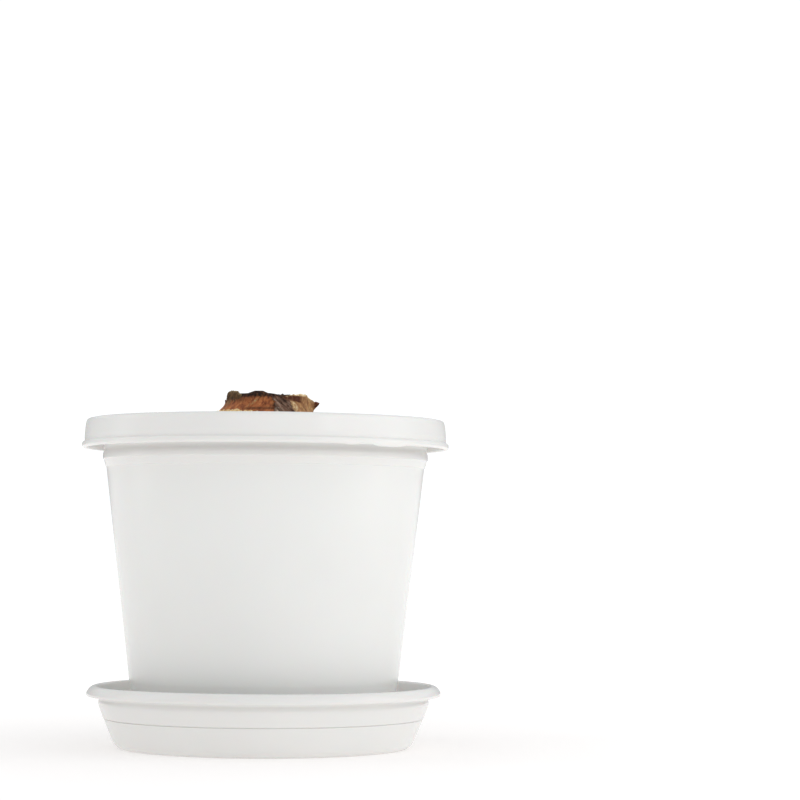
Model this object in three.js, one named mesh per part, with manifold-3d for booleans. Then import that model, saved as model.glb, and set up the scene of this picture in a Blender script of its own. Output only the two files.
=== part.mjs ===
// A potted amaryllis bulb, before it sprouts: a white plastic pot with a turned-over rim stands on
// its saucer, filled with compost, and the neck of the bulb looks out over the rim with its dry,
// papery tunics. Millimetres, +Z up. The origin is the middle of the saucer's flat underside.

import * as THREE from "three";
import { mergeVertices } from "three/addons/utils/BufferGeometryUtils.js";
import Module from "manifold-3d";

// ---- driving dimensions -----------------------------------------------------------------------

const GAP = 0.3; // clearance between pieces that rest on or in each other
const ROUND_SEGMENTS = 64; // facets around the pot and the saucer
const BULB_SEGMENTS = 32; // facets around the bulb and its pocket

const SAUCER = {
  footR: 58.1, // flat underside
  wallR: 60.7, // wall above the rounded foot
  grooveZ: 11.9, // fine moulded step line around the wall
  grooveR: 64.95,
  step: 0.4, // how far the wall steps out above that line
  neckR: 67.7, // wall just below the lip
  neckZ: 18.6,
  lipR: 72.3,
  lipZ: 22.2,
  crestR: 69.2,
  crestZ: 25.2,
  wall: 1.5,
  floor: 2.0,
};

const POT = {
  footR: 51.7,
  recessR: 46.5, // underside of the floor is raised inside this radius
  recess: 3.0,
  footStepZ: 27.5, // fine step line low on the wall
  footStep: 0.4,
  taper: 0.1162, // radius gained for each millimetre of height
  wallR28: 54.96, // radius of the straight wall at footStepZ
  flareZ: 114.3, // upper fine line: above it the wall flares under the rim
  flareTopZ: 120.6,
  flareTopR: 67.3,
  rimTopZ: 133.7,
  rimTopR: 72.6,
  rimCorner: 2.8,
  beadR: 75.0, // the bead on the lower edge of the rim
  beadZ: 123.6,
  skirtEndZ: 121.9,
  skirtR: 74.1, // skirt just above the bead
  skirtZ: 125.4,
  wall: 1.6,
};

const DRAIN = { count: 8, radius: 4.5, ringR: 33 };

const MEDIUM = { surfaceZ: 113.5, riseAtBulb: 1.6 };

const BULB = {
  baseZ: 38, // underside of the basal plate
  plateR: 14,
  bellyR: 42,
  bellyZ: 77,
  neckR: 16.2, // half the width of the neck at its cut top
  neckTopZ: 144.7,
};

const TUNIC = { thickness: 0.45, gap: 0.35 };

const POT_FLOOR_Z = SAUCER.floor + GAP; // the plane the pot's foot stands on

// ---- materials --------------------------------------------------------------------------------

const surface = (color, roughness) => new THREE.MeshStandardMaterial({ color, roughness, metalness: 0 });

const MATERIALS = {
  plastic: () => surface(0xf1f1ef, 0.35),
  compost: () => surface(0x3a261a, 0.95),
  bulb: () => surface(0x6b4630, 0.8),
  redTunic: () => surface(0x9a5a3c, 0.7),
  greyTunic: () => surface(0x7b6560, 0.75),
  tanTunic: () => surface(0xb08a5e, 0.7),
  darkTunic: () => surface(0x4a3a2e, 0.85),
  strawTunic: () => surface(0xcfae73, 0.65),
};

// ---- helpers ----------------------------------------------------------------------------------

const wasm = await Module();
wasm.setup();

function toSolid(geometry) {
  const bare = geometry.clone();
  bare.deleteAttribute("normal");
  bare.deleteAttribute("uv");
  const merged = mergeVertices(bare, 1e-4);
  const mesh = new wasm.Mesh({
    numProp: 3,
    vertProperties: Float32Array.from(merged.attributes.position.array),
    triVerts: Uint32Array.from(merged.index.array),
  });
  mesh.merge();
  return new wasm.Manifold(mesh);
}

function toGeometry(solid) {
  const { vertProperties, triVerts } = solid.getMesh();
  const geometry = new THREE.BufferGeometry();
  geometry.setAttribute("position", new THREE.BufferAttribute(Float32Array.from(vertProperties), 3));
  geometry.setIndex(new THREE.BufferAttribute(Uint32Array.from(triVerts), 1));
  geometry.computeVertexNormals();
  return geometry;
}

// Turns an outline of (radius, height) about +Z. The outline runs up the outside and down the inside.
function turned(path, segments, divisions = 4) {
  const geometry = new THREE.LatheGeometry(path.getPoints(divisions), segments);
  geometry.rotateX(Math.PI / 2);
  return geometry;
}

function piece(name, geometry, material) {
  const mesh = new THREE.Mesh(geometry, material);
  mesh.name = name;
  return mesh;
}

const smoothstep = (low, high, x) => THREE.MathUtils.smoothstep(x, low, high);

// ---- saucer -----------------------------------------------------------------------------------

function saucerGeometry() {
  const s = SAUCER;
  const outline = new THREE.Path();
  outline.moveTo(0, 0);
  outline.lineTo(s.footR, 0);
  outline.quadraticCurveTo(s.footR + 1.9, 0.1, s.wallR, 1.6);
  outline.quadraticCurveTo(s.wallR + 2.4, 6.8, s.grooveR, s.grooveZ);
  outline.lineTo(s.grooveR + s.step, s.grooveZ + 0.5);
  outline.lineTo(s.neckR, s.neckZ);
  outline.quadraticCurveTo(s.neckR + 0.5, 20.6, s.lipR - 1.8, s.lipZ - 1.1);
  outline.quadraticCurveTo(s.lipR + 0.3, s.lipZ - 1.3, s.lipR, s.lipZ);
  outline.quadraticCurveTo(s.lipR - 0.9, s.crestZ - 0.6, s.crestR, s.crestZ);
  outline.quadraticCurveTo(s.crestR - 1.3, s.crestZ, s.neckR - s.wall + 1.0, s.crestZ - 2.2);
  outline.lineTo(s.grooveR + s.step - s.wall, s.grooveZ + 0.5);
  outline.lineTo(s.wallR - s.wall + 0.6, s.floor + 1.6);
  outline.quadraticCurveTo(s.wallR - s.wall - 0.2, s.floor, s.wallR - s.wall - 2.4, s.floor);
  outline.lineTo(0, s.floor);
  return turned(outline, ROUND_SEGMENTS, 3);
}

// ---- pot --------------------------------------------------------------------------------------

// Radius of the straight part of the outer wall at a height.
const wallRadius = (z) => POT.wallR28 + (z - POT.footStepZ) * POT.taper;

function potShell() {
  const p = POT;
  const z0 = POT_FLOOR_Z;
  const floorTop = z0 + p.recess + 2.0;
  const webZ = p.rimTopZ - p.wall * 1.2;
  const skirtInner = p.rimTopR - p.wall;
  const innerTopR = p.flareTopR - p.wall + 0.6;
  const outline = new THREE.Path();
  outline.moveTo(0, z0 + p.recess);
  outline.lineTo(p.recessR, z0 + p.recess);
  outline.lineTo(p.recessR + 1, z0);
  outline.lineTo(p.footR - 2, z0);
  outline.quadraticCurveTo(p.footR, z0, p.footR + 0.25, z0 + 2);
  outline.lineTo(wallRadius(p.footStepZ - 1.5) - p.footStep, p.footStepZ - 1.5);
  outline.lineTo(wallRadius(p.footStepZ), p.footStepZ);
  outline.lineTo(wallRadius(p.flareZ - 0.8), p.flareZ - 0.8);
  outline.lineTo(wallRadius(p.flareZ) + 0.25, p.flareZ);
  outline.lineTo(p.flareTopR, p.flareTopZ);
  outline.lineTo(p.flareTopR + 0.7, webZ);
  outline.lineTo(skirtInner, webZ);
  outline.lineTo(p.skirtR - p.wall, p.skirtZ);
  outline.lineTo(p.beadR - p.wall, p.skirtEndZ);
  outline.lineTo(p.beadR - 0.6, p.skirtEndZ);
  outline.quadraticCurveTo(p.beadR, p.skirtEndZ + 0.2, p.beadR, p.beadZ);
  outline.lineTo(p.skirtR, p.skirtZ);
  outline.lineTo(p.rimTopR + 0.95, p.rimTopZ - p.rimCorner + 0.6);
  outline.quadraticCurveTo(p.rimTopR + 0.7, p.rimTopZ, p.rimTopR - 1.6, p.rimTopZ);
  outline.lineTo(innerTopR + 1.8, p.rimTopZ);
  outline.quadraticCurveTo(innerTopR, p.rimTopZ, innerTopR, p.rimTopZ - 2);
  outline.lineTo(p.flareTopR - p.wall, p.flareTopZ);
  outline.lineTo(wallRadius(p.flareZ) - p.wall, p.flareZ - 1);
  outline.lineTo(wallRadius(floorTop + 4) - p.footStep - p.wall, floorTop + 4);
  outline.quadraticCurveTo(wallRadius(floorTop) - p.wall - 0.6, floorTop, p.recessR - 1, floorTop);
  outline.lineTo(0, floorTop);
  return turned(outline, ROUND_SEGMENTS, 3);
}

// The shell with its drain holes: one in the middle and a ring of them around it.
function potGeometry() {
  const drill = new THREE.CylinderGeometry(DRAIN.radius, DRAIN.radius, 12, 20);
  drill.rotateX(Math.PI / 2);
  drill.translate(0, 0, POT_FLOOR_Z + POT.recess + 1);
  const hole = toSolid(drill);
  let shell = toSolid(potShell()).subtract(hole);
  for (let i = 0; i < DRAIN.count; i += 1) {
    const angle = (2 * Math.PI * i) / DRAIN.count;
    const at = [DRAIN.ringR * Math.cos(angle), DRAIN.ringR * Math.sin(angle), 0];
    shell = shell.subtract(hole.translate(at));
  }
  return toGeometry(shell);
}

// ---- bulb -------------------------------------------------------------------------------------

// The bulb's outline as (radius, height), from the basal plate up to the shoulder of the cut top.
const bulbSide = new THREE.CatmullRomCurve3([
  new THREE.Vector3(BULB.plateR, 0, BULB.baseZ),
  new THREE.Vector3(BULB.plateR + 6, 0, BULB.baseZ + 3),
  new THREE.Vector3(BULB.bellyR - 9, 0, BULB.baseZ + 11),
  new THREE.Vector3(BULB.bellyR - 1.5, 0, BULB.bellyZ - 15),
  new THREE.Vector3(BULB.bellyR, 0, BULB.bellyZ),
  new THREE.Vector3(BULB.bellyR - 3.5, 0, BULB.bellyZ + 17),
  new THREE.Vector3(BULB.neckR + 16.3, 0, 108),
  new THREE.Vector3(BULB.neckR + 10.8, 0, 119),
  new THREE.Vector3(BULB.neckR + 7, 0, 128),
  new THREE.Vector3(BULB.neckR + 3.8, 0, 134.5),
  new THREE.Vector3(BULB.neckR + 1.4, 0, 138.6),
  new THREE.Vector3(BULB.neckR + 0.2, 0, 141),
  new THREE.Vector3(BULB.neckR, 0, BULB.neckTopZ - 1),
]);
const sidePoints = bulbSide.getSpacedPoints(20);

// Radius of the bulb at a height, read off that outline.
function bulbRadius(z) {
  const above = sidePoints.findIndex((point) => point.z >= z);
  if (above <= 0) return sidePoints[above === 0 ? 0 : sidePoints.length - 1].x;
  const low = sidePoints[above - 1];
  const high = sidePoints[above];
  return THREE.MathUtils.mapLinear(z, low.z, high.z, low.x, high.x);
}

// The cut top isn't level: dried ends of the scales stand higher at the left and in the middle.
const topLift = (angle) => 0.6 * Math.cos(2 * angle) + 0.4 * Math.sin(3 * angle + 1);

function bulbGeometry() {
  const profile = [new THREE.Vector2(0, BULB.baseZ)];
  for (const point of sidePoints) profile.push(new THREE.Vector2(point.x, point.z));
  profile.push(new THREE.Vector2(BULB.neckR - 2.4, BULB.neckTopZ));
  profile.push(new THREE.Vector2(BULB.neckR * 0.55, BULB.neckTopZ - 1.3));
  profile.push(new THREE.Vector2(0, BULB.neckTopZ - 1.9));
  const geometry = new THREE.LatheGeometry(profile, BULB_SEGMENTS);
  geometry.rotateX(Math.PI / 2);
  const position = geometry.attributes.position;
  for (let i = 0; i < position.count; i += 1) {
    const [x, y, z] = [position.getX(i), position.getY(i), position.getZ(i)];
    const reach = smoothstep(134, BULB.neckTopZ, z) * smoothstep(0, BULB.neckR, Math.hypot(x, y));
    position.setZ(i, z + reach * topLift(Math.atan2(y, x)));
  }
  geometry.computeVertexNormals();
  return geometry;
}

// ---- compost ----------------------------------------------------------------------------------

// Fills the pot from its floor to the surface, with a pocket in the bulb's own shape.
function mediumGeometry() {
  const bottom = POT_FLOOR_Z + POT.recess + 2.0 + GAP;
  const inner = (z) => wallRadius(z) - POT.wall - POT.footStep - GAP;
  const surfaceZ = MEDIUM.surfaceZ;
  const outline = [
    new THREE.Vector2(0, bottom),
    new THREE.Vector2(POT.recessR - 2, bottom),
    new THREE.Vector2(inner(bottom + 4.5) - 0.4, bottom + 4.5),
    new THREE.Vector2(inner(surfaceZ - 2), surfaceZ - 2),
    new THREE.Vector2(inner(surfaceZ) - 1.2, surfaceZ),
    new THREE.Vector2(0.5 * (inner(surfaceZ) + bulbRadius(surfaceZ)), surfaceZ + 0.4),
  ];
  const pocketTop = surfaceZ + MEDIUM.riseAtBulb;
  outline.push(new THREE.Vector2(bulbRadius(pocketTop) + 2.5, pocketTop));
  outline.push(new THREE.Vector2(bulbRadius(pocketTop) + 0.8, pocketTop));
  for (const point of [...sidePoints].reverse()) {
    if (point.z > pocketTop - 2) continue;
    outline.push(new THREE.Vector2(point.x + 0.8, point.z));
  }
  outline.push(new THREE.Vector2(BULB.plateR + 0.8, BULB.baseZ - GAP));
  outline.push(new THREE.Vector2(0, BULB.baseZ - GAP));
  const geometry = new THREE.LatheGeometry(outline, BULB_SEGMENTS);
  geometry.rotateX(Math.PI / 2);
  return geometry;
}

// ---- tunics -----------------------------------------------------------------------------------

// A thin dry scale bent around the bulb. It spans the angles from..to (degrees, 0 at +X, -90 at the
// front) and the heights bottom..top, lies `layer` sheets out from the bulb, and leans away from it
// by lean(u, v). u runs along the angles and v up the sheet, both 0 to 1. Its two ends run slightly
// crooked, as torn edges do.
function tunicGeometry({ from, to, bottom, top, layer, lean, columns, rows }) {
  const sheet = new THREE.BoxGeometry(1, 1, 1, columns, rows, 1);
  const position = sheet.attributes.position;
  const inside = TUNIC.gap + (layer - 1) * (TUNIC.thickness + TUNIC.gap);
  for (let i = 0; i < position.count; i += 1) {
    const u = position.getX(i) + 0.5;
    const v = position.getY(i) + 0.5;
    const outer = position.getZ(i) > 0;
    const z = THREE.MathUtils.lerp(bottom, top(u), v);
    const start = from + 5 * Math.sin(5 * v);
    const end = to + 4 * Math.sin(4 * v + 1);
    const angle = THREE.MathUtils.degToRad(THREE.MathUtils.lerp(start, end, u));
    const radius = bulbRadius(z) + inside + lean(u, v) + (outer ? TUNIC.thickness : 0);
    position.setXYZ(i, radius * Math.cos(angle), radius * Math.sin(angle), z);
  }
  return toGeometry(toSolid(sheet));
}

// A ragged edge: a level with slow and fast waves on it.
const ragged = (level, swing, turns, phase) => (u) =>
  level + swing * (0.6 * Math.sin(turns * u * Math.PI + phase) + 0.4 * Math.sin(2.7 * turns * u * Math.PI));

const TUNICS = {
  tunic_red_brown: {
    material: "redTunic",
    from: -250, to: -76, bottom: 117.5, top: ragged(142.4, 0.6, 9, 0.4), layer: 1,
    lean: (u, v) => 0.3 * v * v,
    columns: 34, rows: 8,
  },
  tunic_tan_right: {
    material: "tanTunic",
    from: -62, to: 96, bottom: 117.5, top: ragged(143.4, 0.9, 6, 1.2), layer: 1,
    lean: (u, v) => 0.5 * v + 2.2 * v ** 4 * Math.exp(-(((u - 0.4) / 0.14) ** 2)),
    columns: 30, rows: 8,
  },
  tunic_grey_torn: {
    material: "greyTunic",
    from: -88, to: -42, bottom: 119, top: (u) => 142.4 - 3.2 * u, layer: 2,
    lean: (u, v) => 0.6 * v,
    columns: 12, rows: 10,
  },
  tunic_straw_fringe: {
    material: "strawTunic",
    from: -238, to: -96, bottom: 116.8, top: ragged(137.9, 0.5, 13, 0), layer: 2,
    lean: (u, v) => 0.3 * v + 1.2 * v ** 3 * Math.exp(-(((u - 0.42) / 0.2) ** 2)),
    columns: 28, rows: 6,
  },
  tunic_curled_left: {
    material: "darkTunic",
    from: -170, to: -128, bottom: 141.4, top: (u) => 145.2 + 0.7 * Math.sin(u * Math.PI), layer: 2,
    lean: (u, v) => 0.5 - 0.4 * v,
    columns: 10, rows: 5,
  },
};

// ---- assembly ---------------------------------------------------------------------------------

const pottedAmaryllis = new THREE.Group();
pottedAmaryllis.add(piece("saucer", saucerGeometry(), MATERIALS.plastic()));
pottedAmaryllis.add(piece("pot", potGeometry(), MATERIALS.plastic()));
pottedAmaryllis.add(piece("potting_medium", mediumGeometry(), MATERIALS.compost()));
pottedAmaryllis.add(piece("amaryllis_bulb", bulbGeometry(), MATERIALS.bulb()));
for (const [name, tunic] of Object.entries(TUNICS)) {
  pottedAmaryllis.add(piece(name, tunicGeometry(tunic), MATERIALS[tunic.material]()));
}

export default pottedAmaryllis;
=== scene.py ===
"""A dormant amaryllis bulb in its white moulded pot, standing on a matching saucer.

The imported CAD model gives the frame. Every surface here is worked out with numpy in millimetres,
in the CAD's own frame, and becomes metres when its mesh is made. Angles run round +Z from +X, so the
front of the pot, which faces -Y, lies at -90 degrees.
"""

import math

import bpy
import numpy as np
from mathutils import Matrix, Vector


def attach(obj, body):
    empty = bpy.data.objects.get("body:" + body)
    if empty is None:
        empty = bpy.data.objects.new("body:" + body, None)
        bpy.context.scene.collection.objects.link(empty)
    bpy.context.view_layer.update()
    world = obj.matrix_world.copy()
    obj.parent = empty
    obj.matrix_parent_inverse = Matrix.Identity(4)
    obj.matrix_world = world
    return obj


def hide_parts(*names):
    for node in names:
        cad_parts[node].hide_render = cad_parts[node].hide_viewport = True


MM = 0.001
TURN = 2 * np.pi
SEED = 20261120

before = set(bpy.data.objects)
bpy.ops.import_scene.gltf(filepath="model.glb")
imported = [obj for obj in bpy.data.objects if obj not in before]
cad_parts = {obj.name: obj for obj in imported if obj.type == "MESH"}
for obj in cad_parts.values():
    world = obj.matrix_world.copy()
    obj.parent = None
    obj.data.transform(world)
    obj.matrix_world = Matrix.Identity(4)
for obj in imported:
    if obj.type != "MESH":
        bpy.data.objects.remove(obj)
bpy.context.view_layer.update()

# ---- sizes in millimetres, as in the CAD ------------------------------------------------------

SAUCER_FLOOR = 2.0
SAUCER_WALL = 1.5
POT_FOOT = 2.3  # the plane the pot's foot stands on
POT_WALL = 1.6
FOOT_STEP_Z = 27.5
WALL_R_AT_STEP = 54.96
TAPER = 0.1162  # radius gained for each millimetre of height
RIM_TOP = 133.7
SOIL_Z = 113.5
NECK_R = 16.2
NECK_ARC = 17  # length round the neck for each radian, which the scales' grain follows
NECK_DEGREE = 0.31  # length round the neck for each degree
DRAIN_HOLE_R = 4.5
DRAIN_RING_R = 33  # the circle that eight of the drain holes lie on
MOULDED_STEPS = 288  # steps round a moulded piece

# ---- light ------------------------------------------------------------------------------------

ROOM_LIGHT = 0.41  # strength of the white surroundings, as light on the object
BACKDROP_LIGHT = 1.1  # strength of the same surroundings, as the camera sees them
SKY_LIGHT = 1.1  # strength of the wide light overhead
# The table's glow is painted light; its dimmer glow at the saucer is a painted contact shadow.
TABLE_GLOW = 0.35, 0.55  # light that the table gives out itself, at the saucer and 0.45 m away


# ---- shapes: small tools ----------------------------------------------------------------------


def smooth(low, high, x):
    """0 below low, 1 above high, and 3t^2 - 2t^3 between them. With low above high it falls instead."""
    t = np.clip((x - low) / (high - low), 0, 1)
    return t * t * (3 - 2 * t)


def bell(x, centre, width):
    """A bump of height 1 at centre that fades over width: exp(-((x - centre) / width)^2)."""
    return np.exp(-(((x - centre) / width) ** 2))


def lattice(points, size, seed=0):
    """Smooth noise from -1 to 1: a random value at each corner of a cubic lattice of that size,
    blended across each cell by 3t^2 - 2t^3."""
    p = np.asarray(points, float) / size
    cell = np.floor(p).astype(np.int64)
    t = p - cell
    t = t * t * (3 - 2 * t)
    total = np.zeros(p.shape[:-1])
    for corner in np.ndindex(2, 2, 2):
        x, y, z = np.moveaxis(cell + np.array(corner), -1, 0)
        h = (x * 73856093) ^ (y * 19349663) ^ (z * 83492791) ^ (seed * 374761393 + SEED)
        h = (h ^ (h >> 13)) * 1274126177 & 0x7FFFFFFF
        value = ((h ^ (h >> 15)) & 0xFFFF) / 32767.5 - 1
        total += value * np.prod(np.where(corner, t, 1 - t), axis=-1)
    return total


def layered(points, sizes, weights, seed=0):
    """A sum of lattice noises, one for each size, with its weight."""
    return sum(w * lattice(points, s, seed + k) for k, (s, w) in enumerate(zip(sizes, weights)))


def rounded(corners, arc_steps=5, longest=2.0):
    """An outline of (radius, height) points from (radius, height, rounding) corners. Each corner is a
    quadratic arc between points its rounding away along both sides. Long stretches are split."""
    corner = np.array(corners, float)
    place, rounding = corner[:, :2], corner[:, 2]
    t = np.linspace(0, 1, arc_steps + 1)[:, None]
    parts = [place[:1]]
    for before, here, after, reach in zip(place[:-2], place[1:-1], place[2:], rounding[1:-1]):
        if reach == 0:
            parts.append(here[None])
            continue
        back, on = before - here, after - here
        far_back, far_on = np.linalg.norm(back), np.linalg.norm(on)
        start = here + back / far_back * min(reach, 0.49 * far_back)
        end = here + on / far_on * min(reach, 0.49 * far_on)
        parts.append((1 - t) ** 2 * start + 2 * t * (1 - t) * here + t**2 * end)
    parts.append(place[-1:])
    line = np.vstack(parts)
    split = [line[:1]]
    for a, b in zip(line[:-1], line[1:]):
        pieces = max(1, math.ceil(np.linalg.norm(b - a) / longest))
        split.append(a + (b - a) * (np.arange(1, pieces + 1) / pieces)[:, None])
    return np.vstack(split)


def grid_faces(rows, columns, wrap_columns=True):
    """Quads between neighbouring points of a grid whose points are numbered row by row."""
    i = np.arange(rows - 1)[:, None]
    j = np.arange(columns if wrap_columns else columns - 1)[None, :]
    k = (j + 1) % columns
    here, above = i * columns, (i + 1) * columns
    return np.stack([here + j, here + k, above + k, above + j], -1).reshape(-1, 4)


def fan(pole, ring, flip=False):
    """Triangles from one pole point to the neighbouring points of a ring."""
    after = np.roll(ring, -1)
    order = (ring, after) if flip else (after, ring)
    return np.stack([np.full(len(ring), pole), *order], -1)


def make(name, points, faces, material, **attributes):
    """Puts points (millimetres) and faces into a mesh of its own, with float attributes by name."""
    mesh = bpy.data.meshes.new(name)
    every_face = [face.tolist() for block in faces for face in block]
    mesh.from_pydata((np.asarray(points) * MM).tolist(), [], every_face)
    mesh.polygons.foreach_set("use_smooth", np.full(len(mesh.polygons), True))
    for key, values in attributes.items():
        layer = mesh.attributes.new(key, "FLOAT", "POINT")
        layer.data.foreach_set("value", np.asarray(values, np.float32).ravel())
    mesh.materials.append(material)
    mesh.validate()
    mesh.update()
    thing = bpy.data.objects.new(name, mesh)
    bpy.context.collection.objects.link(thing)
    return thing


def turned(outline, segments, change=None):
    """Carries an outline of (radius, height) round +Z: x = r cos a, y = r sin a, z = height. The outline
    starts and ends on the axis, where one pole point closes it. change(r, z, a) may move the points."""
    angle = np.arange(segments) / segments * TURN
    r, a = np.meshgrid(outline[1:-1, 0], angle, indexing="ij")
    z = np.repeat(outline[1:-1, 1:], segments, 1)
    if change is not None:
        r, z = change(r, z, a)
    rings = np.stack([r * np.cos(a), r * np.sin(a), z], -1).reshape(-1, 3)
    poles = [(0, 0, outline[0, 1]), (0, 0, outline[-1, 1])]
    rows = len(outline) - 2
    count = rows * segments
    first, last = np.arange(segments), np.arange(count - segments, count)
    faces = [grid_faces(rows, segments), fan(count, first), fan(count + 1, last, flip=True)]
    return np.vstack([rings, poles]), faces


# ---- materials: small tools -------------------------------------------------------------------


class Finish:
    """A node material being built. feed and set give values or links to sockets, node adds a node, and
    every other method adds the nodes for one step and gives the socket that its result comes out of."""

    def __init__(self, name):
        self.material = bpy.data.materials.new(name)
        self.material.use_nodes = True
        self.tree = self.material.node_tree
        self.shader = self.tree.nodes["Principled BSDF"]
        self.coords = self.node("ShaderNodeTexCoord").outputs["Object"]

    def node(self, kind, *links, **settings):
        made = self.tree.nodes.new(kind)
        for key, value in settings.items():
            setattr(made, key, value)
        for index, value in links:
            self.feed(made.inputs[index], value)
        return made

    def feed(self, socket, value):
        if isinstance(value, bpy.types.NodeSocket):
            self.tree.links.new(value, socket)
        elif isinstance(value, tuple) and len(value) == 3 and socket.type == "RGBA":
            socket.default_value = (*value, 1)
        else:
            socket.default_value = value

    def set(self, **values):
        for key, value in values.items():
            self.feed(self.shader.inputs[key.replace("_", " ")], value)

    def stretch(self, vector, scale):
        mapping = self.node("ShaderNodeMapping", ("Vector", vector), ("Scale", scale))
        return mapping.outputs[0]

    def noise(self, per_metre, detail=3.0, rough=0.55, vector=None, twist=0.0):
        links = [("Vector", vector or self.coords), ("Scale", per_metre), ("Detail", detail)]
        links += [("Roughness", rough), ("Distortion", twist)]
        return self.node("ShaderNodeTexNoise", *links).outputs[0]

    def cells(self, per_metre, vector):
        return self.node("ShaderNodeTexVoronoi", ("Vector", vector), ("Scale", per_metre)).outputs[0]

    def ramp(self, value, *stops):
        made = self.node("ShaderNodeValToRGB", (0, value))
        ramp = made.color_ramp
        while len(ramp.elements) < len(stops):
            ramp.elements.new(0.5)
        for element, (place, colour) in zip(ramp.elements, stops):
            element.position = place
            element.color = (*colour, 1) if isinstance(colour, tuple) else (colour, colour, colour, 1)
        return made.outputs[0]

    def mix(self, share, first, second):
        made = self.node("ShaderNodeMix", data_type="RGBA")
        for index, value in ((0, share), (6, first), (7, second)):
            self.feed(made.inputs[index], value)
        return made.outputs[2]

    def math(self, operation, first, second=0.0, third=0.0):
        made = self.node("ShaderNodeMath", (0, first), (1, second), (2, third), operation=operation)
        return made.outputs[0]

    def fit(self, value, low, high, to_low=0.0, to_high=1.0):
        links = [(0, value), (1, low), (2, high), (3, to_low), (4, to_high)]
        return self.node("ShaderNodeMapRange", *links).outputs[0]

    def held(self, name):
        return self.node("ShaderNodeAttribute", attribute_name=name).outputs["Fac"]

    def spread(self, name, noise, least, most):
        """An attribute's share, broken up by a noise, between 0 and 1."""
        share = self.math("MULTIPLY", self.held(name), self.fit(noise, 0.38, 0.62, least, most))
        return self.node("ShaderNodeClamp", (0, share)).outputs[0]

    def bump(self, height, millimetres, under=None):
        links = [("Height", height), ("Distance", millimetres * MM)]
        if under is not None:
            links.append(("Normal", under))
        return self.node("ShaderNodeBump", *links).outputs[0]


def white_plastic(name, speck_shift):
    """Moulded polypropylene: a warm white with faint flow clouds, a satin gloss that handling has made
    slightly uneven, fine orange peel, and a few tiny dark specks, which speck_shift moves about."""
    f = Finish(name)
    clouds = f.noise(22, 2.0)
    base = f.ramp(clouds, (0.3, (0.832, 0.826, 0.806)), (0.7, (0.852, 0.846, 0.826)))
    shift = ("Location", (speck_shift, 0.3, 0.1))
    shifted = f.node("ShaderNodeMapping", ("Vector", f.coords), shift).outputs[0]
    speck = f.ramp(f.cells(45, shifted), (0.0, 1.0), (0.012, 0.0))
    f.set(Base_Color=f.mix(speck, base, (0.36, 0.32, 0.28)))
    f.set(Roughness=f.ramp(f.noise(70, 3.0), (0.35, 0.21), (0.7, 0.255)))
    peel = f.bump(f.noise(420, 2.0), 0.008)
    f.set(Normal=f.bump(f.noise(60, 2.0), 0.05, peel))
    f.set(IOR=1.49, Subsurface_Weight=0.08, Subsurface_Scale=0.004)
    return f.material


def papery(name, deep, main, light, edge, burnt, bare, vein=0.5, gloss=0.6):
    """A dry bulb scale: colour runs from deep to light in wavering streaks along the scale, with mottling
    and fine lengthwise veins. The surface gives 'along' (mm up the scale), 'across' (mm round the bulb),
    and where its torn edges, its dark places and painted shade, and its pale places and painted highlights
    are."""
    f = Finish(name)
    waver = f.math("MULTIPLY_ADD", f.noise(190, 2.0), 2.6, f.held("across"))
    surface = f.node("ShaderNodeCombineXYZ", (0, waver), (1, f.held("along")), (2, 0.0)).outputs[0]
    streaks = f.noise(1.1, 5.0, 0.62, f.stretch(surface, (1.0, 0.2, 1)), 0.5)
    mottle = f.noise(430, 6.0, 0.68, None, 0.9)
    fine = f.noise(4.5, 3.0, 0.6, f.stretch(surface, (1.0, 0.09, 1)))
    tone = f.math("ADD", f.math("MULTIPLY", streaks, 0.5), f.math("MULTIPLY", mottle, 0.5))
    body = f.ramp(tone, (0.4, deep), (0.5, main), (0.6, light))
    body = f.mix(f.math("MULTIPLY", f.ramp(fine, (0.36, 1.0), (0.5, 0.0)), vein), body, deep)
    grain = f.noise(950, 4.0, 0.65)
    # the pale mask lays pale places and painted highlights; the dark mask two lines below lays dark places
    # and painted shade
    body = f.mix(f.spread("bare", grain, 0.0, 1.7), body, bare)
    body = f.mix(f.spread("edge", grain, 0.3, 1.4), body, edge)
    f.set(Base_Color=f.mix(f.spread("burnt", mottle, 0.5, 1.5), body, burnt))
    f.set(Roughness=f.fit(mottle, 0.3, 0.7, gloss - 0.1, gloss + 0.15))
    f.set(Normal=f.bump(fine, 0.10, f.bump(mottle, 0.16)))
    f.set(IOR=1.42, Specular_IOR_Level=0.28, Subsurface_Weight=0.06, Subsurface_Scale=0.001)
    return f.material


def compost_finish(name, dark, light):
    """Damp peat and coir: dark brown with lighter crumbs, matt, and rough at every scale."""
    f = Finish(name)
    crumbs = f.noise(420, 6.0, 0.7)
    patches = f.noise(70, 3.0)
    tone = f.math("ADD", f.math("MULTIPLY", crumbs, 0.7), f.math("MULTIPLY", patches, 0.3))
    mid = tuple((a + b) / 2.6 for a, b in zip(dark, light))
    colour = f.ramp(tone, (0.38, dark), (0.5, mid), (0.66, light))
    f.set(Base_Color=f.mix(f.math("MULTIPLY", f.held("tone"), 0.6), colour, light))
    f.set(Roughness=f.fit(crumbs, 0.3, 0.7, 0.82, 0.98))
    f.set(Normal=f.bump(crumbs, 0.6, f.bump(f.noise(1600, 3.0), 0.15)))
    return f.material


def fibre_finish():
    """Coir fibre: pale to red-brown hairs, each with its own tone, dull."""
    f = Finish("coir_fibre")
    own, along = f.math("MULTIPLY", f.held("tone"), 0.7), f.math("MULTIPLY", f.noise(300, 2.0), 0.3)
    dark, middle, pale = (0.05, 0.026, 0.013), (0.17, 0.085, 0.04), (0.4, 0.25, 0.13)
    f.set(Base_Color=f.ramp(f.math("ADD", own, along), (0.15, dark), (0.5, middle), (0.9, pale)))
    f.set(Roughness=0.8)
    f.set(Normal=f.bump(f.noise(2500, 2.0), 0.03))
    return f.material


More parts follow.
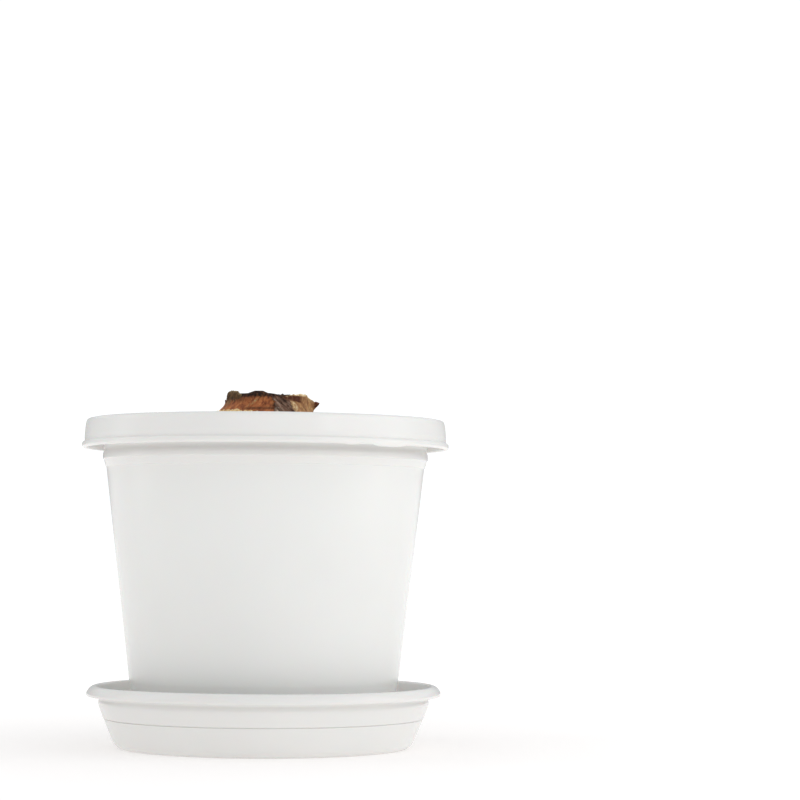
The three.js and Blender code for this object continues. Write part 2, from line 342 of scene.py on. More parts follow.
def floor_finish():
    """A plain pale table, matt, with hardly any grain, that glows with painted light, less so at its
    middle, where the dimmer glow is a painted shadow round the saucer.
    """
    f = Finish("pale_floor")
    f.set(Base_Color=f.ramp(f.noise(6, 2.0), (0.3, (0.715, 0.69, 0.68)), (0.7, (0.735, 0.71, 0.70))))
    f.set(Roughness=0.9, Specular_IOR_Level=0.0)
    away = f.node("ShaderNodeVectorMath", (0, f.coords), operation="LENGTH").outputs["Value"]
    # painted light: the table glows, dimmer near the saucer as a painted contact shadow
    f.set(Emission_Color=(1, 1, 1), Emission_Strength=f.fit(away, 0.08, 0.45, *TABLE_GLOW))
    return f.material


# ---- saucer -----------------------------------------------------------------------------------


def saucer():
    """The saucer's outline turned round +Z. Its wall carries one fine step line, and its lip turns out
    and down. It is very slightly out of round: r + 0.10 cos(2a + 0.7) + 0.05 cos 5a at its lip."""
    outline = rounded([
        # underside, and the wall's lower part up to the step line
        (0, 0, 0), (58.9, 0, 1.2), (60.75, 1.65, 1.4), (63.0, 6.6, 3.0), (65.0, 11.8, 0.05),
        (64.65, 12.05, 0.05),
        # the wall's upper part, and the hollow below the lip
        (65.4, 12.3, 0.08), (67.5, 18.3, 0.9), (67.0, 20.3, 0.7), (67.6, 21.7, 0.5), (71.2, 21.3, 0.4),
        # the lip, from its lower edge over its crest
        (72.15, 21.15, 0.5), (72.35, 22.4, 0.9), (71.0, 24.5, 2.0), (69.3, 25.35, 0.9), (67.9, 25.1, 0.9),
        # inside
        (67.0, 22.6, 1.2), (65.4 - SAUCER_WALL, 12.3, 0.5), (59.8, 3.6, 1.5), (58.6, SAUCER_FLOOR, 1.4),
        (0, SAUCER_FLOOR, 0),
    ])

    def settle(r, z, a):
        wobble = 0.10 * np.cos(2 * a + 0.7) + 0.05 * np.cos(5 * a)
        return r + wobble * smooth(4, 24, z), z + 0.10 * np.sin(3 * a + 1) * smooth(15, 24, z)

    points, faces = turned(outline, MOULDED_STEPS, settle)
    return make("saucer_moulded", points, faces, white_plastic("saucer_plastic", 0.041))


# ---- pot --------------------------------------------------------------------------------------


def wall_radius(z):
    """The outside of the pot's wall: a straight taper."""
    return WALL_R_AT_STEP + (z - FOOT_STEP_Z) * TAPER


def pot_outline():
    """The pot from the middle of its raised underside, out and up the wall, over the turned-down rim,
    and back down the inside to the middle of its floor."""
    floor = POT_FOOT + 5
    w = wall_radius
    return rounded([
        # raised underside, foot and foot step
        (0, POT_FOOT + 3, 0), (46.5, POT_FOOT + 3, 0.6), (47.5, POT_FOOT, 0.5), (50.9, POT_FOOT, 1.2),
        (51.95, POT_FOOT + 2.2, 1.4), (w(26) - 0.12, 25.9, 0.5), (w(27.2), 27.2, 0.6),
        # the wall, with two fine rings near its top
        (w(114), 114.0, 0.08), (w(114) + 0.3, 114.12, 0.08), (66.1, 117.1, 0.08), (66.45, 117.22, 0.08),
        # the hollow inside the turned-down rim
        (66.55, 119.2, 1.2), (65.95, 121.2, 0.9), (67.6, 131.9, 1.0), (71.2, 131.8, 0.8),
        (72.3, 125.4, 0.3), (73.1, 121.9, 0.25),
        # the rim's lip, its face and its top
        (74.5, 121.75, 0.3), (75.05, 122.4, 0.5), (75.0, 124.0, 0.5), (73.9, 124.6, 0.12),
        (74.0, 126.6, 0.5), (73.55, 131.6, 1.0), (72.9, 133.75, 1.9), (69.2, RIM_TOP + 0.02, 1.6),
        # inside
        (66.4, 133.4, 1.3), (66.0, 131.0, 1.0), (64.3, 120.6, 1.0), (w(113.5) - POT_WALL, 113.5, 1.2),
        (w(floor + 4) - 0.4 - POT_WALL, floor + 4, 3.0), (49.0, floor, 3.0), (0, floor, 0),
    ], longest=2.4)


def pot():
    """The pot's outline turned round +Z, a little out of round by cosines of the angle, with drain
    holes cut through its floor. Two thin half-ellipses of flash hang under the rim's lip at the front
    right, centred 40.5 and 26.3 degrees from the front."""
    front = math.radians(-90)

    def settle(r, z, a):
        turn = np.degrees((a - front + np.pi) % TURN - np.pi)
        wobble = 0.12 * np.cos(2 * a + 0.3) + 0.06 * np.cos(3 * a + 2) + 0.02 * np.cos(7 * a)
        r = r + wobble * smooth(30, 120, z)
        lip = smooth(73.2, 74.4, r) * smooth(123.4, 122.2, z)
        flash = 0.75 * np.sqrt(np.clip(1 - ((turn - 40.5) / 6.6) ** 2, 0, 1))
        flash = flash + 0.35 * np.sqrt(np.clip(1 - ((turn - 26.3) / 2.4) ** 2, 0, 1))
        return r - 0.5 * lip * flash, z - lip * flash + 0.08 * np.sin(2 * a) * smooth(90, 120, z)

    points, faces = turned(pot_outline(), MOULDED_STEPS, settle)
    body = make("pot_moulded", points, faces, white_plastic("pot_plastic", 0.013))
    drill_holes(body)
    return body


def drill_holes(body):
    """Cuts the floor's drain holes: one in the middle and a ring of eight."""
    turns = [k * TURN / 8 for k in range(8)]
    places = [(0.0, 0.0)] + [(DRAIN_RING_R * math.cos(a), DRAIN_RING_R * math.sin(a)) for a in turns]
    low, high = POT_FOOT - 1, POT_FOOT + 8
    outline = np.array([(0, low), (DRAIN_HOLE_R, low), (DRAIN_HOLE_R, high), (0, high)])
    points, faces = turned(outline, 32)
    every = [points + np.array([x, y, 0]) for x, y in places]
    shifted = [block + k * len(points) for k in range(len(places)) for block in faces]
    drills = make("drills", np.vstack(every), shifted, body.data.materials[0])
    cut = body.modifiers.new("drain_holes", "BOOLEAN")
    cut.operation, cut.object, cut.solver = "DIFFERENCE", drills, "EXACT"
    graph = bpy.context.evaluated_depsgraph_get()
    drilled = bpy.data.meshes.new_from_object(body.evaluated_get(graph))
    body.modifiers.clear()
    body.data = drilled
    bpy.data.objects.remove(drills)


# ---- compost ----------------------------------------------------------------------------------


def soil_height(x, y):
    """The compost's surface: level, a little higher at the bulb, with hollows and lumps at four scales."""
    r = np.hypot(x, y)
    spot = np.stack([x, y, np.zeros_like(x)], -1)
    lumps = layered(spot, (14, 6, 2.6, 1.1), (0.9, 0.8, 0.55, 0.3), 40)
    return SOIL_Z + 1.4 * smooth(50, 32, r) + 0.8 * smooth(58, 63, r) + lumps


def compost():
    """One body of compost: the pot's inside below, a lumpy surface above, and the bulb's pocket."""
    inner = wall_radius(SOIL_Z) - POT_WALL - 0.25
    bottom = POT_FOOT + 5.3
    low = wall_radius(bottom + 4) - POT_WALL - 1.0
    surface_r = np.linspace(inner, 29.0, 90)
    top = np.stack([surface_r, np.full(90, SOIL_Z)], -1)
    corners = [(0, bottom, 0), (44, bottom, 2), (low, bottom + 4.5, 2), (inner, SOIL_Z - 2, 0)]
    side = rounded(corners, longest=6)
    pocket = [(29.5, SOIL_Z - 4), (33, SOIL_Z - 10), (0, SOIL_Z - 14)]
    outline = np.vstack([side, top, pocket])

    def roughen(r, z, a):
        height = soil_height(r * np.cos(a), r * np.sin(a))
        return r, np.where(z >= SOIL_Z, height, z)

    points, faces = turned(outline, 360, roughen)
    finish = compost_finish("compost_mass", (0.012, 0.007, 0.0045), (0.07, 0.038, 0.02))
    return make("compost", points, faces, finish, tone=np.zeros(len(points)))


def scattered(count, seed, inside=31.0, outside=62.6):
    """Random places on the compost between the bulb and the pot's wall, evenly spread over the area."""
    chance = np.random.default_rng(seed)
    r = np.sqrt(chance.uniform(inside**2, outside**2, count))
    a = chance.uniform(0, TURN, count)
    return chance, r * np.cos(a), r * np.sin(a)


def crumbs():
    """Lumps of peat on the surface: each is an icosahedron, squashed, turned and dented at random."""
    count = 3400
    chance, x, y = scattered(count, SEED)
    g = (1 + 5**0.5) / 2
    corner_reach = 1.9  # about sqrt(1 + g^2), which makes the ball's radius about 1
    ball = np.array([(-1, g, 0), (1, g, 0), (-1, -g, 0), (1, -g, 0), (0, -1, g), (0, 1, g), (0, -1, -g),
                     (0, 1, -g), (g, 0, -1), (g, 0, 1), (-g, 0, -1), (-g, 0, 1)])
    ball = ball / corner_reach
    faces = np.array([(0, 11, 5), (0, 5, 1), (0, 1, 7), (0, 7, 10), (0, 10, 11), (1, 5, 9), (5, 11, 4),
                      (11, 10, 2), (10, 7, 6), (7, 1, 8), (3, 9, 4), (3, 4, 2), (3, 2, 6), (3, 6, 8),
                      (3, 8, 9), (4, 9, 5), (2, 4, 11), (6, 2, 10), (8, 6, 7), (9, 8, 1)])
    size = 0.45 + 1.5 * chance.random(count) ** 3
    squash = chance.uniform(0.55, 1.25, (count, 1, 3)) * size[:, None, None]
    dents = 1 + chance.uniform(-0.22, 0.22, (count, 12, 1))
    turn, tip = chance.uniform(0, TURN, (2, count))
    p = ball[None] * dents * squash
    p = np.stack([p[..., 0] * np.cos(tip)[:, None] - p[..., 2] * np.sin(tip)[:, None], p[..., 1],
                  p[..., 0] * np.sin(tip)[:, None] + p[..., 2] * np.cos(tip)[:, None]], -1)
    p = np.stack([p[..., 0] * np.cos(turn)[:, None] - p[..., 1] * np.sin(turn)[:, None],
                  p[..., 0] * np.sin(turn)[:, None] + p[..., 1] * np.cos(turn)[:, None], p[..., 2]], -1)
    centre = np.stack([x, y, soil_height(x, y) + 0.25 * size], -1)
    points = (p + centre[:, None]).reshape(-1, 3)
    every = (faces[None] + 12 * np.arange(count)[:, None, None]).reshape(-1, 3)
    tone = np.repeat(chance.random(count) ** 2.5, 12)
    finish = compost_finish("compost_crumb", (0.016, 0.009, 0.006), (0.13, 0.07, 0.036))
    return make("compost_crumbs", points, [every], finish, tone=tone)


def fibres():
    """Coir fibres lying on the compost: thin four-sided strands along gently curving paths."""
    count, steps, sides = 520, 9, 4
    chance, x, y = scattered(count, SEED + 1, 33.0, 58.0)
    length = chance.uniform(4, 15, count)
    heading = chance.uniform(0, TURN, count)
    bend = chance.normal(0, 1.3, count)
    t = np.linspace(-0.5, 0.5, steps)[None, :]
    direction = heading[:, None] + bend[:, None] * t
    step = length[:, None] / steps
    dx, dy = np.cos(direction) * step, np.sin(direction) * step
    px = x[:, None] + np.cumsum(dx, 1) - dx.sum(1)[:, None] / 2
    py = y[:, None] + np.cumsum(dy, 1) - dy.sum(1)[:, None] / 2
    rest = soil_height(px, py).mean(1)[:, None] + 0.35
    pz = np.maximum(soil_height(px, py) + 0.12, rest) + chance.uniform(0, 1.6, (count, 1)) * (1 - 4 * t**2)
    away = np.hypot(px, py)
    keep = (away.max(1) < 62.8) & (away.min(1) > 30.5)
    px, py, pz, direction = px[keep], py[keep], pz[keep], direction[keep]
    thick = chance.uniform(0.07, 0.17, count)[keep][:, None] * (1 - (2 * np.abs(t)) ** 4 * 0.6)
    round_by = np.arange(sides) / sides * TURN
    side = np.cos(round_by) * thick[..., None]
    up = np.sin(round_by) * thick[..., None]
    points = np.stack([px[..., None] - np.sin(direction)[..., None] * side,
                       py[..., None] + np.cos(direction)[..., None] * side, pz[..., None] + up], -1)
    kept = len(px)
    one = grid_faces(steps, sides)
    caps = np.array([np.arange(sides)[::-1], np.arange(sides) + (steps - 1) * sides])
    faces = np.vstack([one, caps])
    every = (faces[None] + steps * sides * np.arange(kept)[:, None, None]).reshape(-1, 4)
    tone = np.repeat(chance.random(kept), steps * sides)
    return make("coir_fibres", points.reshape(-1, 3), [every], fibre_finish(), tone=tone)


# ---- bulb -------------------------------------------------------------------------------------

# The bulb's side as (radius, height), from the basal plate up to the cut neck.
BULB_SIDE = np.array([
    (14, 38), (20, 41), (33, 49), (40.5, 62), (42, 77), (38.5, 94), (NECK_R + 16.3, 108),
    (NECK_R + 10.8, 119), (NECK_R + 7, 128), (NECK_R + 3.8, 134.5), (NECK_R + 1.4, 138.6),
    (NECK_R + 0.2, 141), (NECK_R, 143.7), (NECK_R, 150),
])


def bulb_radius(z):
    """The side's radius at a height: a Catmull-Rom curve through its points, read by height."""
    r, h = BULB_SIDE.T
    slope = np.gradient(r, h)
    k = np.clip(np.searchsorted(h, z) - 1, 0, len(h) - 2)
    span = h[k + 1] - h[k]
    t = np.clip((z - h[k]) / span, 0, 1)
    a, b = r[k], r[k + 1]
    rise = (t**3 - 2 * t**2 + t) * slope[k] + (t**3 - t**2) * slope[k + 1]
    return (2 * t**3 - 3 * t**2 + 1) * a + (3 * t**2 - 2 * t**3) * b + span * rise


def bulb_skin(z, a):
    """Radius of the bulb's surface: its side, made slightly oval, with soft lengthwise ribs that grow
    towards the neck. The neck is drawn in a little: on its right from 134 to 138 mm up, and on its
    left round 140 mm up."""
    ribs = lattice(np.stack([9 * np.cos(a), 9 * np.sin(a), z / 40], -1), 1.0, 7)
    lumps = lattice(np.stack([2 * np.cos(a), 2 * np.sin(a), z / 22], -1), 1.0, 8)
    amount = smooth(104, 140, z)
    left, right = np.clip(-np.cos(a), 0, 1), np.clip(np.cos(a), 0, 1)
    lean = -0.6 * right * smooth(112, 134, z) * smooth(141.5, 138, z) - 0.9 * left**2 * bell(z, 140.0, 1.9)
    oval = 1 + 0.012 * np.cos(2 * a) + 0.014 * lumps
    return bulb_radius(z) * oval + (0.12 + 0.22 * amount) * ribs + lean


# The rings of dried scale ends in the neck, from the outermost in: (radius, height of the top, shift
# to the right).
SCALE_ENDS = [
    (15.5, 144.5, 0), (13.2, 143.6, -0.25), (10.9, 144.0, 0.4), (8.3, 142.9, -0.3), (5.6, 143.6, 0.2),
    (2.9, 142.6, 0),
]


def bulb():
    """The grown bulb: a body from the basal plate to the neck, and the nested dried ends of its scales,
    which stand in the neck as thin rings with ragged tops."""
    low = np.linspace(38.3, 106, 34)
    high = np.linspace(106.6, 141.5, 74)
    z = np.concatenate([low, high])
    side = np.stack([bulb_radius(z), z], -1)
    hollow = [(14.4, 142.3), (11, 140.6), (6, 139.6), (0, 139.4)]
    outline = np.vstack([[(0, 38)], side, hollow])

    def grow(r, z, a):
        return np.where(r > 14.5, bulb_skin(z, a), r), z

    points, faces = turned(outline, 300, grow)
    blocks, every, edge = [points], list(faces), [np.zeros(len(points))]
    total = len(points)
    for k in range(len(SCALE_ENDS)):
        ring, quads, dry = scale_ring(k)
        blocks.append(ring)
        every.append(quads + total)
        edge.append(dry)
        total += len(ring)
    points = np.vstack(blocks)
    angle = np.arctan2(points[:, 1], points[:, 0])
    finish = papery("bulb_skin", deep=(0.05, 0.018, 0.008), main=(0.16, 0.06, 0.024),
                    light=(0.32, 0.15, 0.06), edge=(0.017, 0.006, 0.0028), burnt=(0.03, 0.012, 0.006),
                    bare=(0.3, 0.2, 0.1))
    none = np.zeros(len(points))
    return make("bulb", points, every, finish, edge=np.concatenate(edge), burnt=none, bare=none,
                across=angle * NECK_ARC, along=points[:, 2])


def scale_ring(k):
    """The dried end of scale k: a closed wall round the neck. Its section goes up the outside, over a
    thin top and down the inside; the top is torn unevenly and leans in. The outermost one is lower at
    the front right and has one hump at the front left."""
    radius, head, shift = SCALE_ENDS[k]
    columns = 260
    a = np.arange(columns) / columns * TURN
    tear = np.stack([6 * np.cos(a), 6 * np.sin(a), np.full(columns, 3.0 * k)], -1)
    top = head + 0.5 * lattice(tear, 2.4, 60 + k) + 0.4 * lattice(tear, 0.7, 70 + k)
    top = top + 0.25 * lattice(tear, 0.3, 80 + k)
    if k == 0:
        front = np.degrees(a)
        front = np.where(front > 180, front - 360, front)
        top = np.minimum(top, 144.15 - 0.9 * smooth(-86, -60, front) * smooth(60, 20, front))
        top = top + 0.95 * smooth(-121, -107, front) * smooth(-86, -97, front)
    wall = 0.42 - 0.03 * k
    base = 139.0
    share = np.array([0, 0.35, 0.6, 0.8, 0.92, 1.0, 1.0, 0.92, 0.8, 0.6, 0.35, 0])[:, None]
    out = np.array([1, 1, 1, 1, 0.8, 0.35, -0.35, -0.8, -1, -1, -1, -1])[:, None]
    z = base + (top[None] - base) * share
    lean = -0.9 * share**2 * (0.6 + 0.4 * lattice(tear, 1.1, 90 + k))[None]
    oval = 1 + 0.05 * np.cos(2 * a + 0.8 * k)[None] * (k / 5)
    ripple = 0.28 * lattice(tear, 0.55, 100 + k)[None] * share
    r = radius * oval + out * wall + lean + ripple
    points = np.stack([r * np.cos(a) + shift, r * np.sin(a), z], -1).reshape(-1, 3)
    rows = len(share)
    quads = grid_faces(rows, columns)
    ring = np.arange(columns)
    after, last = np.roll(ring, -1), (rows - 1) * columns
    wrap = np.stack([ring + last, after + last, after, ring], -1)
    dry = np.broadcast_to(smooth(0.25, 0.8, share), z.shape).ravel()
    return points, np.vstack([quads, wrap]), dry


# ---- tunics -----------------------------------------------------------------------------------


def nowhere(turn, z):
    """Nothing at any place: the plain case of a tunic's fold, its dark places and painted shade, and its
    pale places and painted highlights.
    """
    return np.zeros_like(turn)


def tunic(name, material, turn_from, turn_to, foot, head, off, lean, columns=220, rows=64, seed=0,
          thick=0.2, torn_sides=3.0, slant=0.0, fold=nowhere, burnt=nowhere, bare=nowhere):
    """A dry scale lying round the bulb. Over u (round the bulb) and v (up the scale), height runs from
    foot(turn) to head(turn), and radius is the bulb's skin plus off, lean(turn, v), fold(turn, height) and
    fine crinkles. A second, inner skin a little smaller closes it round all its edges. Its grain leans by
    slant, and two more functions of (turn, height) give its dark places and painted shade, and its pale
    places and painted highlights."""
    u, v = np.meshgrid(np.linspace(0, 1, columns), np.linspace(0, 1, rows), indexing="ij")

    def sway(shift, step):
        line = np.stack([v * 9, v * 0 + shift, v * 0 + seed], -1)
        return lattice(line, 1.0, step + seed) + 0.5 * lattice(line * [3.3, 1, 1], 1.0, step + 10 + seed)

    start = turn_from + torn_sides * sway(0, 200)
    end = turn_to + torn_sides * sway(5, 220)
    turn = start + (end - start) * u
    a = np.radians(turn)
    low, high = foot(turn), head(turn)
    z = low + (high - low) * v
    place = np.stack([a * NECK_ARC + slant * z, z * 0.22, np.full_like(z, seed)], -1)
    crinkle = 0.2 * lattice(place, 1.1, 240 + seed) + 0.3 * lattice(place * [1, 2.2, 1], 3.2, 250 + seed)
    r = bulb_skin(np.minimum(z, 146), a) + off + lean(turn, v) + fold(turn, z) + crinkle * (0.3 + 0.7 * v)
    near_rim = np.minimum(np.minimum(u, 1 - u), np.minimum(v, 1 - v))
    half = 0.5 * thick * np.minimum(1, 12 * near_rim + 0.25)
    outer = np.stack([(r + half) * np.cos(a), (r + half) * np.sin(a), z], -1).reshape(-1, 3)
    inner = np.stack([(r - half) * np.cos(a), (r - half) * np.sin(a), z], -1).reshape(-1, 3)
    count = columns * rows
    front = grid_faces(columns, rows, wrap_columns=False)
    index = np.arange(count).reshape(columns, rows)
    loop = np.concatenate([index[:-1, 0], index[-1, :-1], index[:0:-1, -1], index[0, :0:-1]])
    after = np.roll(loop, -1)
    sides = np.stack([loop, loop + count, after + count, after], -1)
    near_side = np.minimum(u, 1 - u) * abs(turn_to - turn_from) * NECK_DEGREE
    edge = np.maximum(np.exp(-(high - z) / 0.45), 0.8 * np.exp(-near_side / 0.5))
    # the dark mark holds dark places and painted shade, the pale mark pale places and painted highlights
    marks = {"edge": edge, "burnt": burnt(turn, z), "bare": bare(turn, z)}
    marks |= {"across": place[..., 0], "along": z}
    marks = {key: np.tile(values.ravel(), 2) for key, values in marks.items()}
    return make(name, np.vstack([outer, inner]), [front[:, ::-1], front + count, sides], material, **marks)


def torn(turn, level, swings, seed):
    """A torn edge: a level with lattice noise at slow, middle and fast steps along the scale."""
    spot = np.stack([turn, turn * 0, turn * 0], -1)
    return level + layered(spot, (16, 5, 1.7), swings, seed)


def red_brown_tunic():
    """The dry scale round the left and the front of the neck. A tear with pale lips crosses it, and it is
    darker along its top, near the curled end and in a band above the straw-coloured fringe, with painted
    shade where the grey scale begins."""
    finish = papery("red_brown_tunic", deep=(0.15, 0.036, 0.012), main=(0.43, 0.137, 0.045),
                    light=(0.62, 0.24, 0.085), edge=(0.03, 0.012, 0.006), burnt=(0.04, 0.014, 0.006),
                    bare=(0.5, 0.36, 0.17), vein=0.3)

    def tear(t, z):
        flecks = 0.45 + 0.9 * lattice(np.stack([t / 1.5, z / 0.5, t * 0], -1), 1.0, 410)
        return bell(t + 4.05 * (142.3 - z), -100, 2.2) * smooth(138.0, 138.8, z) * np.clip(flecks, 0, 1)

    # darker along the top, near the curled end and above the straw-coloured fringe; the last term is
    # painted shade at the grey scale's edge
    def burnt(t, z):
        top = 0.75 * smooth(142.1, 143.0, z) + 0.5 * bell(t, -128, 9) * smooth(139.6, 141.6, z)
        low = 0.8 * bell(z, 137.8, 0.45) * smooth(-128, -112, t)
        return top + low + 0.9 * bell(t, -80, 5) * bell(z, 139.0, 0.6)

    return tunic("tunic_red_brown", finish, -250, -74,
                 foot=lambda t: torn(t, 113.0, (0.8, 0.5, 0.2), 300),
                 head=lambda t: torn(t, 143.15, (0.3, 0.3, 0.25), 304) - 2.9 * bell(t, -163, 24),
                 off=0.55, lean=lambda t, v: 0.15 * v, seed=1, slant=-0.5,
                 fold=lambda t, z: 0.4 * tear(t, z) - 0.3 * tear(t - 4, z), burnt=burnt, bare=tear)


def tan_tunic():
    """The thin veined scale on the right: it stands off the neck, its pale top edge is feathered, and one
    end curls out to a dark tip. Under its top edge at its left end lies a dark lens of painted shadow, and
    a pale swirl and a pale crest there are painted highlights."""
    finish = papery("tan_tunic", deep=(0.2, 0.085, 0.034), main=(0.42, 0.2, 0.078),
                    light=(0.64, 0.38, 0.16), edge=(0.95, 0.74, 0.42), burnt=(0.10, 0.026, 0.008),
                    bare=(0.92, 0.74, 0.44), vein=0.25, gloss=0.55)

    def head(t):
        tip = 2.7 * smooth(-28, -7, t) * smooth(24, 6, t)
        return torn(t, 144.0, (0.15, 0.2, 0.2), 310) - tip - 1.0 * smooth(-46, -62, t)

    def lean(t, v):
        tip = bell(t, -3, 7.5) * smooth(0.86, 1.0, v)
        beside = 0.7 * bell(t, -5, 13) * smooth(0.75, 0.95, v)
        return 0.35 * v + 0.9 * bell(t, -22, 15) * v**5 + 3.6 * tip + beside

    # the lens is a painted shadow under the top edge at the left end; the second term darkens the curled
    # tip
    def burnt(t, z):
        lens = smooth(140.7, 141.6, z + 0.05 * (t + 50)) * smooth(143.4, 142.9, z) * smooth(-30, -42, t)
        return 1.2 * lens + 1.5 * bell(t, -3, 7) * smooth(138.6, 139.8, z)

    # a painted highlight: a pale swirl of rings and a pale crest along the top at the left end
    def highlight_swirl(t, z):
        ring = np.hypot((t + 53) * 0.29, (z - 138.8) * 1.1)
        crest = 1.1 * smooth(143.1, 143.7, z) * smooth(-52, -44, t)
        return 0.6 * bell(ring, 1.9, 0.35) + 0.5 * bell(ring, 0.7, 0.35) + crest

    return tunic("tunic_tan_right", finish, -64, 98,
                 foot=lambda t: torn(t, 113.4, (0.8, 0.5, 0.2), 314), head=head,
                 off=0.5, lean=lean, seed=2, slant=0.25, burnt=burnt, bare=highlight_swirl)


def grey_tunic():
    """The torn purple-grey scale at the front right, over the ends of the two beside it. Its folds run
    down to the right, and the troughs of the folds are painted with shade; one dark spot lies high on it."""
    finish = papery("grey_tunic", deep=(0.08, 0.036, 0.021), main=(0.24, 0.13, 0.085),
                    light=(0.42, 0.28, 0.20), edge=(0.09, 0.038, 0.018), burnt=(0.035, 0.013, 0.006),
                    bare=(0.62, 0.5, 0.38), vein=0.45)

    def folds(t, z):
        across = np.radians(t) * NECK_ARC + 1.2 * np.maximum(z, 134)
        line = np.stack([across / 1.5, z * 0.06, t * 0], -1)
        return 0.38 * lattice(line, 1.0, 401)

    # painted shade in the troughs of the folds, and one dark spot high in its middle
    def burnt(t, z):
        return 0.6 * smooth(0.0, -0.25, folds(t, z)) + 0.8 * bell(t, -66, 5) * bell(z, 141.0, 1.2)

    return tunic("tunic_grey_torn", finish, -81, -56,
                 foot=lambda t: torn(t, 118, (0.8, 0.9, 0.4), 320),
                 head=lambda t: torn(t, 142.7, (0.2, 0.3, 0.25), 324) - 0.8 * smooth(-74, -60, t),
                 off=1.0, lean=lambda t, v: 0.15 * v, columns=110, seed=3, slant=0.6, fold=folds,
                 burnt=burnt, bare=lambda t, z: 0.9 * bell(t, -76.5, 4) * smooth(138.6, 137.6, z))


def straw_tunic():
    """The pale outermost scale, torn off low on the left shoulder and curling away from it."""
    finish = papery("straw_tunic", deep=(0.42, 0.2, 0.06), main=(0.80, 0.45, 0.15),
                    light=(0.95, 0.68, 0.30), edge=(0.95, 0.74, 0.4), burnt=(0.3, 0.12, 0.04),
                    bare=(0.95, 0.8, 0.5), vein=0.25, gloss=0.5)
    return tunic("tunic_straw_fringe", finish, -236, -98,
                 foot=lambda t: torn(t, 112.8, (0.9, 0.6, 0.2), 330),
                 head=lambda t: torn(t, 137.0, (0.3, 0.3, 0.35), 334) - 0.4 * smooth(-118, -98, t),
                 off=1.0, lean=lambda t, v: 0.2 * v + 1.6 * bell(t, -176, 16) * v**5 + 0.35 * v**8,
                 seed=4)


def curled_end():
    """The curled dark end of an old scale, standing at the left of the neck. It pales where it joins, and
    its pale torn edges are a painted highlight.
    """
    # the pale edge colour paints a highlight along the torn edges
    finish = papery("dark_tunic", deep=(0.035, 0.018, 0.008), main=(0.10, 0.051, 0.017),
                    light=(0.19, 0.105, 0.04), edge=(0.34, 0.25, 0.13), burnt=(0.03, 0.016, 0.008),
                    bare=(0.34, 0.16, 0.07), vein=0.3, gloss=0.7)

    def head(t):
        level = torn(t, 145.35, (0.08, 0.15, 0.15), 344)
        return level - 1.5 * smooth(-140, -129, t) - 0.4 * smooth(-160, -168, t)

    return tunic("tunic_curled_left", finish, -168, -128,
                 foot=lambda t: torn(t, 139.0, (0.4, 0.5, 0.4), 340) + 2.2 * smooth(-150, -134, t),
                 head=head, off=0.3, lean=lambda t, v: 0.3 * smooth(0.5, 0.15, v) - 0.6 * v**4,
                 columns=110, rows=48, seed=5, thick=0.6, torn_sides=1.2,
                 bare=lambda t, z: smooth(142.6, 140.4, z))


# ---- studio -----------------------------------------------------------------------------------


def floor():
    """A wide level plane at the saucer's underside."""
    reach = 6000
    corners = np.array([(-reach, -reach, 0), (reach, -reach, 0), (reach, reach, 0), (-reach, reach, 0)])
    plane = make("floor", corners, [np.array([[0, 1, 2, 3]])], floor_finish())


def soft_light(name, turn, rise, away, width, height, watts, colour=(1, 1, 1)):
    """A rectangular soft box that faces the pot, from turn degrees right of the front, rise degrees up
    and away metres off."""
    data = bpy.data.lights.new(name, "AREA")
    data.shape, data.size, data.size_y = "RECTANGLE", width, height
    data.energy, data.color = watts, colour
    lamp = bpy.data.objects.new(name, data)
    bpy.context.collection.objects.link(lamp)
    turn, rise = math.radians(turn), math.radians(rise)
    line = Vector((math.sin(turn) * math.cos(rise), -math.cos(turn) * math.cos(rise), math.sin(rise)))
    lamp.location = line * away + Vector((0, 0, 0.075))
    lamp.rotation_euler = line.to_track_quat("Z", "Y").to_euler()


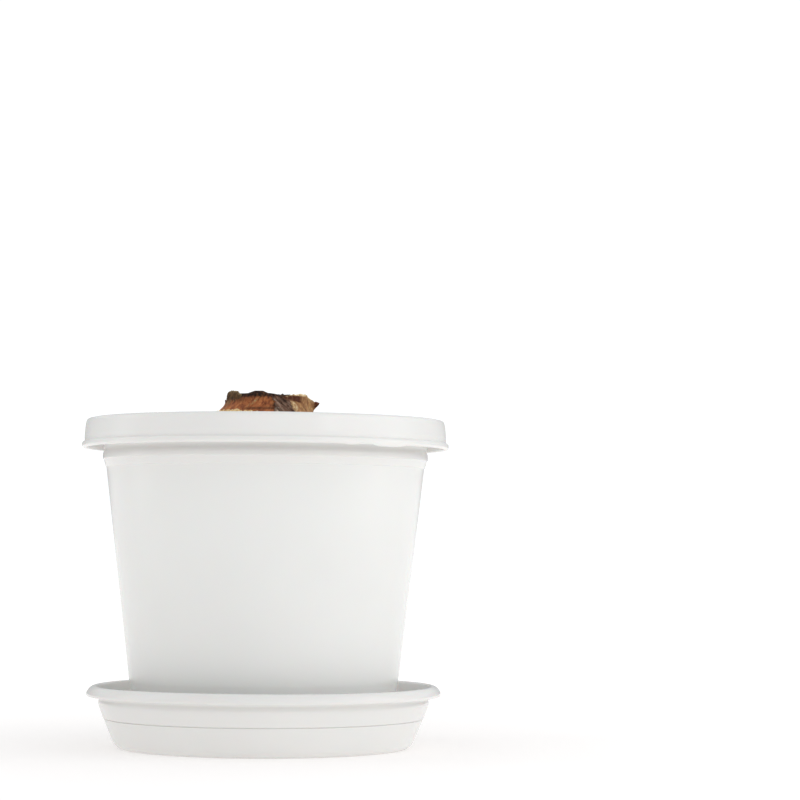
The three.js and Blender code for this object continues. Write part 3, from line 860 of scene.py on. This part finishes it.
def studio():
    """White surroundings, soft boxes at the sides and the front, and a wide, shadowless light straight
    down. The camera sees the surroundings as plain white."""
    world = bpy.data.worlds.new("white_room")
    world.use_nodes = True
    tree = world.node_tree
    seen = tree.nodes.new("ShaderNodeLightPath").outputs["Is Camera Ray"]
    strength = tree.nodes.new("ShaderNodeMapRange")
    tree.links.new(seen, strength.inputs["Value"])
    strength.inputs["To Min"].default_value = ROOM_LIGHT
    strength.inputs["To Max"].default_value = BACKDROP_LIGHT
    background = tree.nodes["Background"]
    cool_white = (0.965, 0.985, 1, 1)
    background.inputs["Color"].default_value = cool_white
    tree.links.new(strength.outputs[0], background.inputs["Strength"])
    bpy.context.scene.world = world
    bpy.context.scene.view_settings.view_transform = "Standard"
    warm, cool = (1, 0.99, 0.97), (0.93, 0.97, 1)
    soft_light("front_box", turn=0, rise=22, away=1.6, width=1.2, height=0.5, watts=1.2)
    soft_light("right_box", turn=60, rise=20, away=1.2, width=0.5, height=0.9, watts=0.9)
    soft_light("right_side_box", turn=82, rise=24, away=0.46, width=0.22, height=0.5, watts=0.24)
    soft_light("left_side_box", turn=-94, rise=24, away=0.46, width=0.16, height=0.5, watts=0.15,
               colour=warm)
    soft_light("strip_by_camera", turn=39, rise=20, away=1.2, width=0.09, height=0.5, watts=0.5,
               colour=cool)
    sky = bpy.data.lights.new("overhead", "SUN")
    sky.energy, sky.angle, sky.color = SKY_LIGHT, math.radians(150), (0.97, 0.99, 1)
    bpy.context.collection.objects.link(bpy.data.objects.new("overhead", sky))


def camera():
    """A long lens a metre in front of the pot, at about its middle height and turned a little up. The
    pot stands left of the middle of the picture."""
    data = bpy.data.cameras.new("camera")
    data.sensor_width, data.lens = 36, 116.65
    eye = bpy.data.objects.new("camera", data)
    bpy.context.collection.objects.link(eye)
    in_front, above_table = 1067.3, 80.9
    yaw, pitch, roll = (math.radians(v) for v in (2.956, 3.305, 0.316))
    right = Vector((math.cos(yaw), -math.sin(yaw), 0))
    level = Vector((math.sin(yaw), math.cos(yaw), 0))
    ahead = level * math.cos(pitch) + Vector((0, 0, math.sin(pitch)))
    over = Vector((0, 0, math.cos(pitch))) - level * math.sin(pitch)
    cosine, sine = math.cos(roll), math.sin(roll)
    right, over = right * cosine + over * sine, over * cosine - right * sine
    eye.matrix_world = Matrix((
        (right[0], over[0], -ahead[0], 0),
        (right[1], over[1], -ahead[1], -in_front * MM),
        (right[2], over[2], -ahead[2], above_table * MM),
        (0, 0, 0, 1),
    ))
    bpy.context.scene.camera = eye


# ---- the object -------------------------------------------------------------------------------

camera()
studio()
floor()

PIECES = [
    (saucer, "white_plastic", ["saucer"]),
    (pot, "white_plastic", ["pot"]),
    (compost, "compost", ["potting_medium"]),
    (crumbs, "compost", []),
    (fibres, "compost", []),
    (bulb, "bulb_skin", ["amaryllis_bulb"]),
    (red_brown_tunic, "red_brown_tunic", ["tunic_red_brown"]),
    (tan_tunic, "tan_tunic", ["tunic_tan_right"]),
    (grey_tunic, "grey_tunic", ["tunic_grey_torn"]),
    (straw_tunic, "straw_tunic", ["tunic_straw_fringe"]),
    (curled_end, "dark_tunic", ["tunic_curled_left"]),
]
for build, slot, nodes in PIECES:
    piece = build()
    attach(piece, "root")
    if nodes:
        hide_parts(*nodes)
